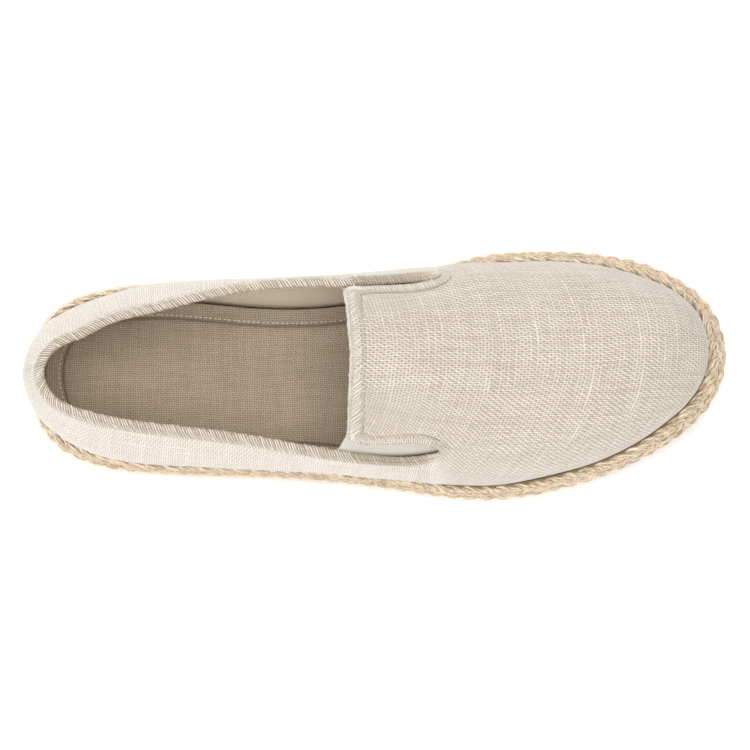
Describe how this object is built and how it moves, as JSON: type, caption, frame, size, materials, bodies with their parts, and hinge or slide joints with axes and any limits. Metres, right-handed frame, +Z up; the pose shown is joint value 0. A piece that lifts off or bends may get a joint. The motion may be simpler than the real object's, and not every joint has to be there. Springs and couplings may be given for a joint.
{
  "type": "slip-on sneaker",
  "caption": "Low slip-on shoe for a right foot: woven linen-look upper with elastic side slits, jute braid round the edge, padded footbed and flat rubber sole.",
  "frame": {"origin": "on the floor under the middle of the shoe's box", "axes": "+X towards the toe, +Y towards the inner (medial) side, +Z up"},
  "size_m": [0.2628, 0.0938, 0.0763],
  "materials": {
    "tread_rubber": "matt moulded rubber",
    "foam_rubber": "matt, lightly grained",
    "jute": "plaited jute yarn, natural",
    "linen": "plain weave with slubs, natural linen colour",
    "elastic": "fine ribbed elastic, cream",
    "canvas": "fine twill canvas, taupe"
  },
  "bodies": {
    "root": {"outsole": "tread_rubber", "midsole": "foam_rubber", "jute_braid": "jute", "upper": "linen", "gore_outer": "elastic", "gore_inner": "elastic", "insole": "canvas"}
  },
  "joints": []
}
